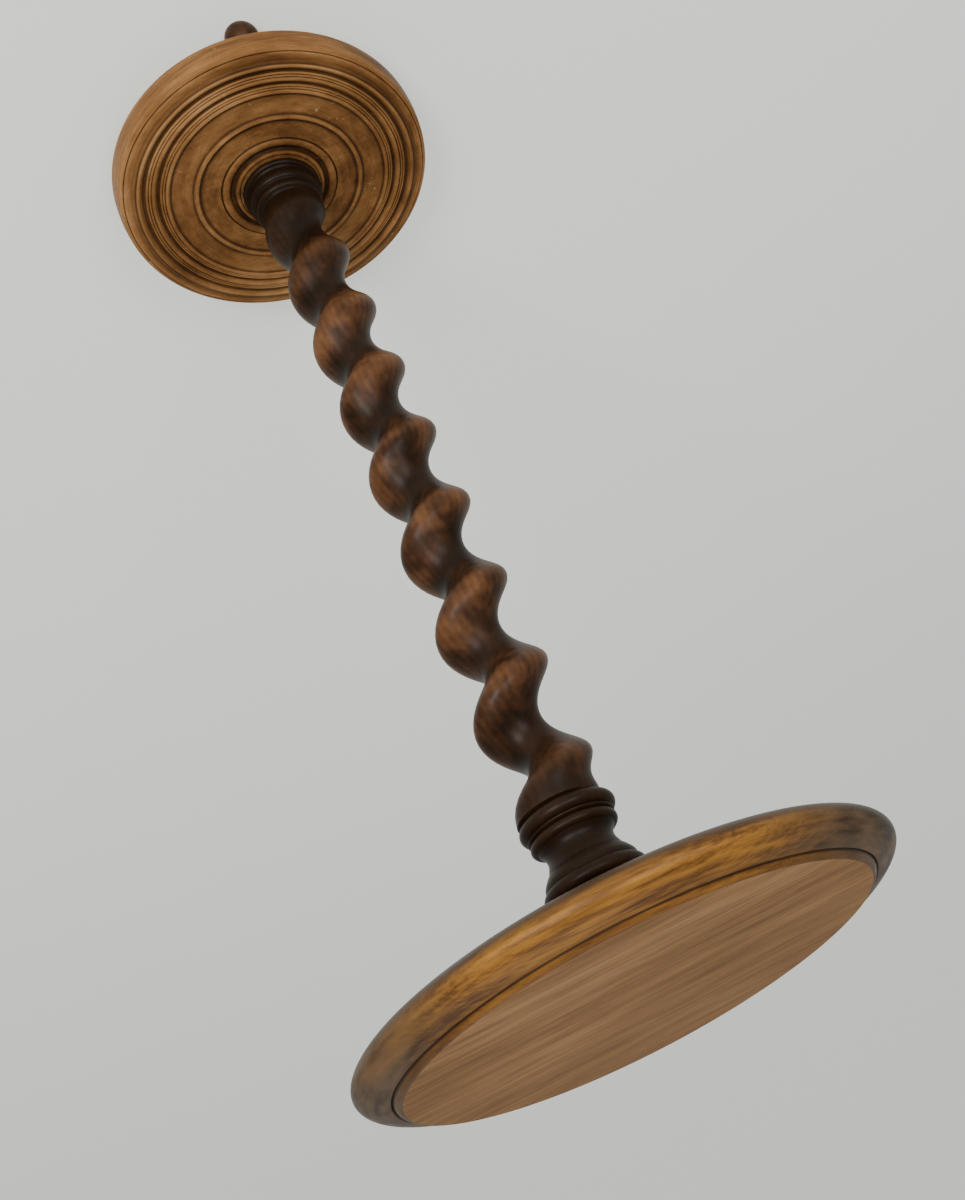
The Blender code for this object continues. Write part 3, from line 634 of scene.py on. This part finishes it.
def make_base(finish):
    """Base disc: beads, ridges and shallow coves outside a deep groove, plain tapered edge, hollow sole."""
    outline = [Vector((15.3, 26.8)), Vector((24.0, 26.8))]
    outline += eased([(31.6, 26.8, 0.0), (32.3, 26.6, 0.2)])
    outline += bead(34.0, 1.6, 26.0, 1.5)
    outline += eased([(35.7, 25.6, 0.0), (37.0, 23.6, 0.8), (39.2, 23.4, 0.8), (40.1, 25.0, 0.0)])
    outline += bead(43.0, 2.8, 25.0, 1.5, 12)
    outline += eased([(45.9, 24.9, 0.0), (46.5, 24.0, 0.15), (47.1, 24.9, 0.4), (54.0, 25.1, 3.0),
                      (60.6, 24.7, 2.0), (63.4, 25.1, 0.8), (64.6, 26.8, 0.5), (66.0, 26.9, 0.6),
                      (67.4, 25.9, 0.0)])
    outline += arc(77.0, 25.9, 9.4, -1.5, 178.0, 2.0, 16)
    outline += eased([(86.6, 25.9, 0.0), (87.3, 26.6, 0.3), (88.9, 26.5, 0.3), (89.6, 24.9, 0.0)])
    outline += bead(90.6, 0.85, 24.8, 0.9)
    outline += bead(92.4, 0.85, 24.4, 0.9)
    outline += eased([(93.4, 23.8, 0.0), (94.7, 23.4, 1.0), (96.6, 25.4, 1.0), (97.6, 26.4, 0.4),
                      (99.1, 26.4, 0.3), (99.9, 25.0, 0.0)])
    outline += bead(101.0, 0.9, 24.9, 0.9)
    outline += bead(103.0, 0.9, 24.6, 0.9)
    outline += eased([(104.0, 24.0, 0.0), (105.6, 23.6, 1.2), (107.8, 25.6, 1.2), (109.0, 27.0, 0.5),
                      (110.4, 27.0, 0.4), (111.2, 25.7, 0.4), (114.0, 24.3, 2.0), (118.0, 23.9, 1.0),
                      (119.3, 23.8, 0.3), (119.8, 22.4, 0.15), (120.6, 23.2, 0.4), (123.0, 21.6, 1.6),
                      (124.4, 12.0, 4.0), (124.4, 1.8, 1.6), (122.6, 0.0, 1.4), (96.0, 0.0, 0.8),
                      (94.0, 4.0, 1.5), (60.0, 4.0, 0.0)])
    outline += eased([(40.0, 4.0, 0.0), (20.5, 4.0, 0.4), (20.5, 11.0, 0.3), (15.3, 11.0, 0.0)])
    outline.append(outline[0].copy())
    rings = rings_at(outline, rim)
    piece = turn("ringed_base_disc", rings, 192, bored=True)
    mark_hollows(piece, rings, 1.1 * MM, 0.32 * MM)
    feet = [centre_of(f"ball_foot_{number}") for number in range(1, FOOT_COUNT + 1)]
    drill(piece, feet, 5.3 * MM, rim(-1.0), rim(15.0), 48)
    dress(piece, finish, "stand", "base_wood", "base_disc")


def make_feet(finish):
    """Ball feet with spigots."""
    ball_level = -10.5
    ball_radius = 13.0
    sole_angle = math.degrees(math.asin((-20.0 - ball_level) / ball_radius))
    shoulder_angle = math.degrees(math.asin((-0.3 - ball_level) / ball_radius))
    outline = eased([(0.6, 14.0, 0.0), (5.0, 14.0, 0.8), (5.0, -0.3, 0.2), (8.0, -0.3, 0.0)])
    outline += arc(0.0, ball_level, ball_radius, ball_radius, shoulder_angle, sole_angle, 36)
    outline += eased([(8.4, -20.0, 0.0), (4.0, -20.0, 0.0), (0.6, -20.0, 0.0)])
    rings = rings_at(outline, rim)
    pattern = turn("ball_foot", rings, 96)
    mark_hollows(pattern, rings, 1.0 * MM, 0.4 * MM)
    nodes = [f"ball_foot_{number}" for number in range(1, FOOT_COUNT + 1)]
    places = [centre_of(node) for node in nodes]
    names = [f"turned_foot_{number}" for number in range(1, FOOT_COUNT + 1)]
    for foot, node in zip(copies_at(pattern, names, places), nodes):
        dress(foot, finish, "stand", "foot_wood", node)


def make_block(finish):
    """Bearing block under the top, with its nut well, bearing pocket and counterbored screw holes."""
    outline = eased([(14.0, 33.9, 0.0), (14.0, 25.3, 0.3), (44.0, 25.3, 0.5), (44.0, 46.0, 1.0)])
    outline += arc(40.0, 45.8, 4.0, -4.0, 0.0, -90.0, 10)
    outline += eased([(38.0, 49.8, 0.0), (26.6, 49.8, 0.3), (26.6, 41.4, 0.2), (8.3, 41.4, 0.1),
                      (8.3, 33.9, 0.1), (14.0, 33.9, 0.0)])
    rings = rings_at(outline, below)
    piece = turn("turning_block", rings, 192, bored=True)
    mark_hollows(piece, rings, 1.2 * MM, 0.4 * MM)
    screws = [centre_of(f"block_screw_{number}") for number in range(1, SCREW_COUNT + 1)]
    drill(piece, screws, 2.3 * MM, below(39.0), below(24.0))
    drill(piece, screws, 4.8 * MM, below(51.0), below(38.0))
    dress(piece, finish, "head", "column_wood", "bearing_block")


def cut_slot(piece, x, y, low, high, length, width):
    """Saw a driver slot across the head of a screw."""
    deselect_all()
    bpy.ops.mesh.primitive_cube_add(size=1.0, location=(x, y, (low + high) / 2.0),
                                    scale=(length, width, high - low))
    saw = bpy.context.object
    deselect_all()
    piece.select_set(True)
    bpy.context.view_layer.objects.active = piece
    cut = piece.modifiers.new("slot", 'BOOLEAN')
    cut.operation = 'DIFFERENCE'
    cut.solver = 'EXACT'
    cut.object = saw
    bpy.ops.object.modifier_apply(modifier=cut.name)
    bpy.data.objects.remove(saw)


def hexagon(name, across, low, high, bevel):
    """Hexagonal bar end with its outer edges eased."""
    deselect_all()
    bpy.ops.mesh.primitive_cylinder_add(vertices=6, radius=across, depth=high - low,
                                        location=(0.0, 0.0, (low + high) / 2.0))
    piece = bpy.context.object
    piece.name = name
    piece.data.name = name
    bpy.ops.object.mode_set(mode='EDIT')
    bpy.ops.mesh.select_all(action='SELECT')
    bpy.ops.mesh.bevel(offset=bevel, segments=3, affect='EDGES')
    bpy.ops.object.mode_set(mode='OBJECT')
    bpy.ops.object.shade_smooth_by_angle(angle=math.radians(34.0))
    centre_piece(piece)
    return piece


def make_races(finish):
    """Upper and lower race of the thrust bearing, each with its ball groove."""
    reach = math.degrees(math.asin(2.3 / 3.3))
    for name, body, face, back, side in (("upper_ball_race", "head", 44.7, 41.7, -1.0),
                                         ("lower_ball_race", "stand", 49.3, 52.3, 1.0)):
        outline = eased([(8.3, face, 0.0), (8.3, back, 0.3), (26.0, back, 0.5), (26.0, face, 0.4),
                         (20.8, face, 0.0)])
        outline += arc(BALL_PITCH, BALL_DEPTH, 3.3, 3.3 * side, reach, 180.0 - reach, 12)
        outline += [Vector((15.0, face)), Vector((8.3, face))]
        piece = turn(name, rings_at(outline, below), 128, bored=True)
        dress(piece, finish, body, "bright_steel", name.replace("_ball", ""))


def make_cage(finish):
    """Flat brass cage with a pocket for every ball."""
    outline = eased([(13.0, 47.0, 0.0), (13.0, 46.2, 0.3), (23.5, 46.2, 0.3), (23.5, 47.8, 0.3),
                     (13.0, 47.8, 0.3), (13.0, 47.0, 0.0)])
    piece = turn("ball_cage_ring", rings_at(outline, below), 128, bored=True)
    balls = [centre_of(f"bearing_ball_{number:02d}") for number in range(1, BALL_COUNT + 1)]
    drill(piece, balls, 3.3 * MM, below(49.0), below(45.0))
    dress(piece, finish, "ball_train", "brass", "ball_cage")


def make_balls(finish):
    """Bearing balls, turned as rings so that each rolls in the two grooves."""
    outline = arc(0.0, BALL_DEPTH, BALL_RADIUS, BALL_RADIUS, 88.0, -88.0, 24)
    pattern = turn("ball", rings_at(outline, below), 48)
    nodes = [f"bearing_ball_{number:02d}" for number in range(1, BALL_COUNT + 1)]
    names = [f"steel_ball_{number}" for number in range(1, BALL_COUNT + 1)]
    for ball, node in zip(copies_at(pattern, names, [centre_of(node) for node in nodes]), nodes):
        dress(ball, finish, "ball_train", "bright_steel", node)


def make_pivot(steel, brass):
    """Spindle up through the bearing, its bush, the retaining washer and the lock nut."""
    outline = eased([(0.6, 101.0, 0.0), (2.4, 100.4, 0.8), (4.0, 97.0, 0.6), (4.0, 59.2, 0.2),
                     (9.0, 59.2, 0.4), (9.0, 56.2, 0.4), (8.0, 56.2, 0.1), (8.0, 48.5, 0.5),
                     (5.0, 48.5, 0.3), (5.0, 32.0, 0.4), (4.0, 32.0, 0.1), (4.0, 25.7, 0.6),
                     (0.6, 25.7, 0.0)])
    dress(turn("pivot_pin", rings_at(outline, below), 64), steel, "stand", "bright_steel", "pivot_spindle")
    outline = eased([(5.3, 40.0, 0.0), (5.3, 44.4, 0.5), (8.0, 44.4, 0.5), (8.0, 33.6, 0.2), (12.0, 33.6, 0.3),
                     (12.0, 32.0, 0.4), (5.3, 32.0, 0.4), (5.3, 40.0, 0.0)])
    dress(turn("brass_bush", rings_at(outline, below), 64, bored=True), brass, "head", "brass", "pivot_bush")
    outline = eased([(4.3, 31.0, 0.0), (4.3, 31.7, 0.2), (10.0, 31.7, 0.4), (10.0, 30.2, 0.4),
                     (4.3, 30.2, 0.2), (4.3, 31.0, 0.0)])
    washer = turn("spindle_washer", rings_at(outline, below), 64, bored=True)
    dress(washer, steel, "stand", "bright_steel", "retaining_washer")
    nut = hexagon("spindle_nut", 7.5 * MM, below(29.9), below(25.9), 0.4 * MM)
    drill(nut, [(0.0, 0.0)], 4.3 * MM, below(31.0), below(25.0), 48)
    dress(nut, steel, "stand", "bright_steel", "lock_nut")


def make_head_plate(finish):
    """Steel plate let into the column's head, with countersunk holes."""
    outline = eased([(8.3, 54.0, 0.0), (8.3, 55.9, 0.4), (21.0, 55.9, 0.5), (21.0, 52.9, 0.5), (8.3, 52.9, 0.4),
                     (8.3, 54.0, 0.0)])
    piece = turn("head_disc", rings_at(outline, below), 96, bored=True)
    holes = [centre_of(f"plate_screw_{number}") for number in range(1, SCREW_COUNT + 1)]
    drill(piece, holes, 2.0 * MM, below(57.0), below(52.0))
    for x, y in holes:
        deselect_all()
        bpy.ops.mesh.primitive_cone_add(vertices=32, radius1=2.0 * MM, radius2=3.9 * MM, depth=2.4 * MM,
                                        location=(x, y, below(53.9)))
        sink = bpy.context.object
        deselect_all()
        piece.select_set(True)
        bpy.context.view_layer.objects.active = piece
        cut = piece.modifiers.new("countersink", 'BOOLEAN')
        cut.operation = 'DIFFERENCE'
        cut.solver = 'EXACT'
        cut.object = sink
        bpy.ops.object.modifier_apply(modifier=cut.name)
        bpy.data.objects.remove(sink)
    dress(piece, finish, "stand", "dull_steel", "head_plate")


def make_screws(finish):
    """Countersunk screws in the head plate and round-headed ones that hold the block to the top."""
    outline = eased([(0.5, 74.0, 0.0), (1.0, 72.4, 0.3), (1.7, 69.5, 0.5), (1.7, 55.1, 0.2), (3.4, 53.4, 0.1),
                     (3.4, 53.2, 0.05), (0.5, 53.2, 0.0)])
    pattern = turn("plate_screw", rings_at(outline, below), 48)
    nodes = [f"plate_screw_{number}" for number in range(1, SCREW_COUNT + 1)]
    names = [f"sunk_screw_{number}" for number in range(1, SCREW_COUNT + 1)]
    for screw, node in zip(copies_at(pattern, names, [centre_of(node) for node in nodes]), nodes):
        cut_slot(screw, *centre_of(node), below(54.1), below(53.0), 8.0 * MM, 0.9 * MM)
        dress(screw, finish, "stand", "dull_steel", node)
    outline = eased([(0.5, 14.2, 0.0), (1.2, 15.8, 0.3), (2.0, 18.6, 0.5), (2.0, 38.3, 0.2),
                     (4.2, 38.3, 0.2), (4.2, 39.6, 1.0), (2.6, 40.9, 0.8), (0.5, 41.0, 0.0)])
    pattern = turn("block_screw", rings_at(outline, below), 48)
    nodes = [f"block_screw_{number}" for number in range(1, SCREW_COUNT + 1)]
    names = [f"round_screw_{number}" for number in range(1, SCREW_COUNT + 1)]
    for screw, node in zip(copies_at(pattern, names, [centre_of(node) for node in nodes]), nodes):
        cut_slot(screw, *centre_of(node), below(41.4), below(39.9), 10.0 * MM, 1.0 * MM)
        dress(screw, finish, "head", "dull_steel", node)


def make_tie_bolt(finish):
    """Bolt up through the base into the column, and its broad washer."""
    outline = eased([(4.3, 9.7, 0.0), (4.3, 10.7, 0.3), (18.5, 10.7, 0.5), (18.5, 8.7, 0.5), (4.3, 8.7, 0.3),
                     (4.3, 9.7, 0.0)])
    washer = turn("base_washer", rings_at(outline, rim), 96, bored=True)
    dress(washer, finish, "stand", "dull_steel", "tie_washer")
    bolt = hexagon("base_bolt", 7.5 * MM, rim(3.4), rim(8.4), 0.5 * MM)
    outline = eased([(0.6, 8.0, 0.0), (4.0, 8.0, 0.0), (4.0, 73.0, 0.5), (2.6, 75.0, 0.5), (0.6, 75.0, 0.0)])
    shank = turn("bolt_shank", rings_at(outline, rim), 64)
    deselect_all()
    shank.select_set(True)
    bolt.select_set(True)
    bpy.context.view_layer.objects.active = bolt
    bpy.ops.object.join()
    dress(bolt, finish, "stand", "dull_steel", "tie_bolt")


def set_camera():
    """Camera at the viewing angle, rolled as it was held."""
    lens = bpy.data.cameras.new("camera")
    lens.lens = CAMERA_LENS
    lens.shift_x, lens.shift_y = CAMERA_SHIFT
    lens.dof.use_dof = False
    lens.clip_end = 400.0
    camera = bpy.data.objects.new("camera", lens)
    bpy.context.scene.collection.objects.link(camera)
    right = CAMERA_RIGHT.normalized()
    back = right.cross(CAMERA_UP).normalized()
    up = back.cross(right)
    turned = Matrix((right, up, back)).transposed().to_4x4()
    camera.matrix_world = Matrix.Translation(CAMERA_PLACE) @ turned
    bpy.context.scene.camera = camera


def add_light(name, place, target, size, energy, colour):
    """Soft square light aimed at a point."""
    lamp = bpy.data.lights.new(name, 'AREA')
    lamp.shape = 'SQUARE'
    lamp.size = size
    lamp.energy = energy
    lamp.color = colour
    light = bpy.data.objects.new(name, lamp)
    light.location = place
    light.rotation_euler = (Vector(target) - Vector(place)).to_track_quat('-Z', 'Y').to_euler()
    bpy.context.scene.collection.objects.link(light)


def set_studio():
    """Pale lit floor, dim even surroundings and soft lights in front on both sides and above."""
    deselect_all()
    bpy.ops.mesh.primitive_plane_add(size=400.0, location=(0.0, 0.0, 0.0))
    floor = bpy.context.object
    floor.name = "floor"
    paint = bpy.data.materials.new("pale_floor")
    paint.use_nodes = True
    shader = paint.node_tree.nodes["Principled BSDF"]
    shader.inputs["Base Color"].default_value = (0.46, 0.47, 0.445, 1.0)
    shader.inputs["Roughness"].default_value = 0.9
    shader.inputs["Specular IOR Level"].default_value = 0.0
    shader.inputs["Emission Color"].default_value = (0.98, 1.0, 0.94, 1.0)
    shader.inputs["Emission Strength"].default_value = FLOOR_GLOW
    floor.data.materials.append(paint)
    world = bpy.data.worlds.new("surroundings")
    world.use_nodes = True
    sky = world.node_tree.nodes["Background"]
    sky.inputs["Color"].default_value = (0.97, 1.0, 0.97, 1.0)
    sky.inputs["Strength"].default_value = WORLD_STRENGTH
    bpy.context.scene.world = world
    add_light("left_window", (0.62, -1.75, 1.22), (0.0, 0.0, 0.45), 0.8, 40.0, (1.0, 0.985, 0.95))
    add_light("right_window", (-0.75, -1.70, 1.15), (0.0, 0.0, 0.45), 0.8, 22.0, (0.97, 0.985, 1.0))
    add_light("ceiling", (0.3, 0.5, 2.2), (0.0, 0.0, 0.4), 1.0, 6.0, (1.0, 1.0, 1.0))


set_camera()
set_studio()
steel = metal_finish("ground_steel", (0.56, 0.56, 0.57), 0.30)
dull_steel = metal_finish("plated_steel", (0.33, 0.33, 0.34), 0.42)
brass = metal_finish("turned_brass", (0.62, 0.45, 0.18), 0.30)
# One finish twice, differing only in how far the ends are darkened, partly stain and partly painted shade: nearly
# black on the column's ends and the bearing block, a quarter of the way on the feet
walnut = stained_finish("carved_walnut", 0.93)
dark_walnut = stained_finish("foot_walnut", 0.25)
make_top(varnished_edge_finish(), waxed_face_finish())
make_column(walnut)
make_base(ringed_base_finish())
make_feet(dark_walnut)
make_block(walnut)
make_races(steel)
make_cage(brass)
make_balls(steel)
make_pivot(steel, brass)
make_head_plate(dull_steel)
make_screws(dull_steel)
make_tie_bolt(dull_steel)
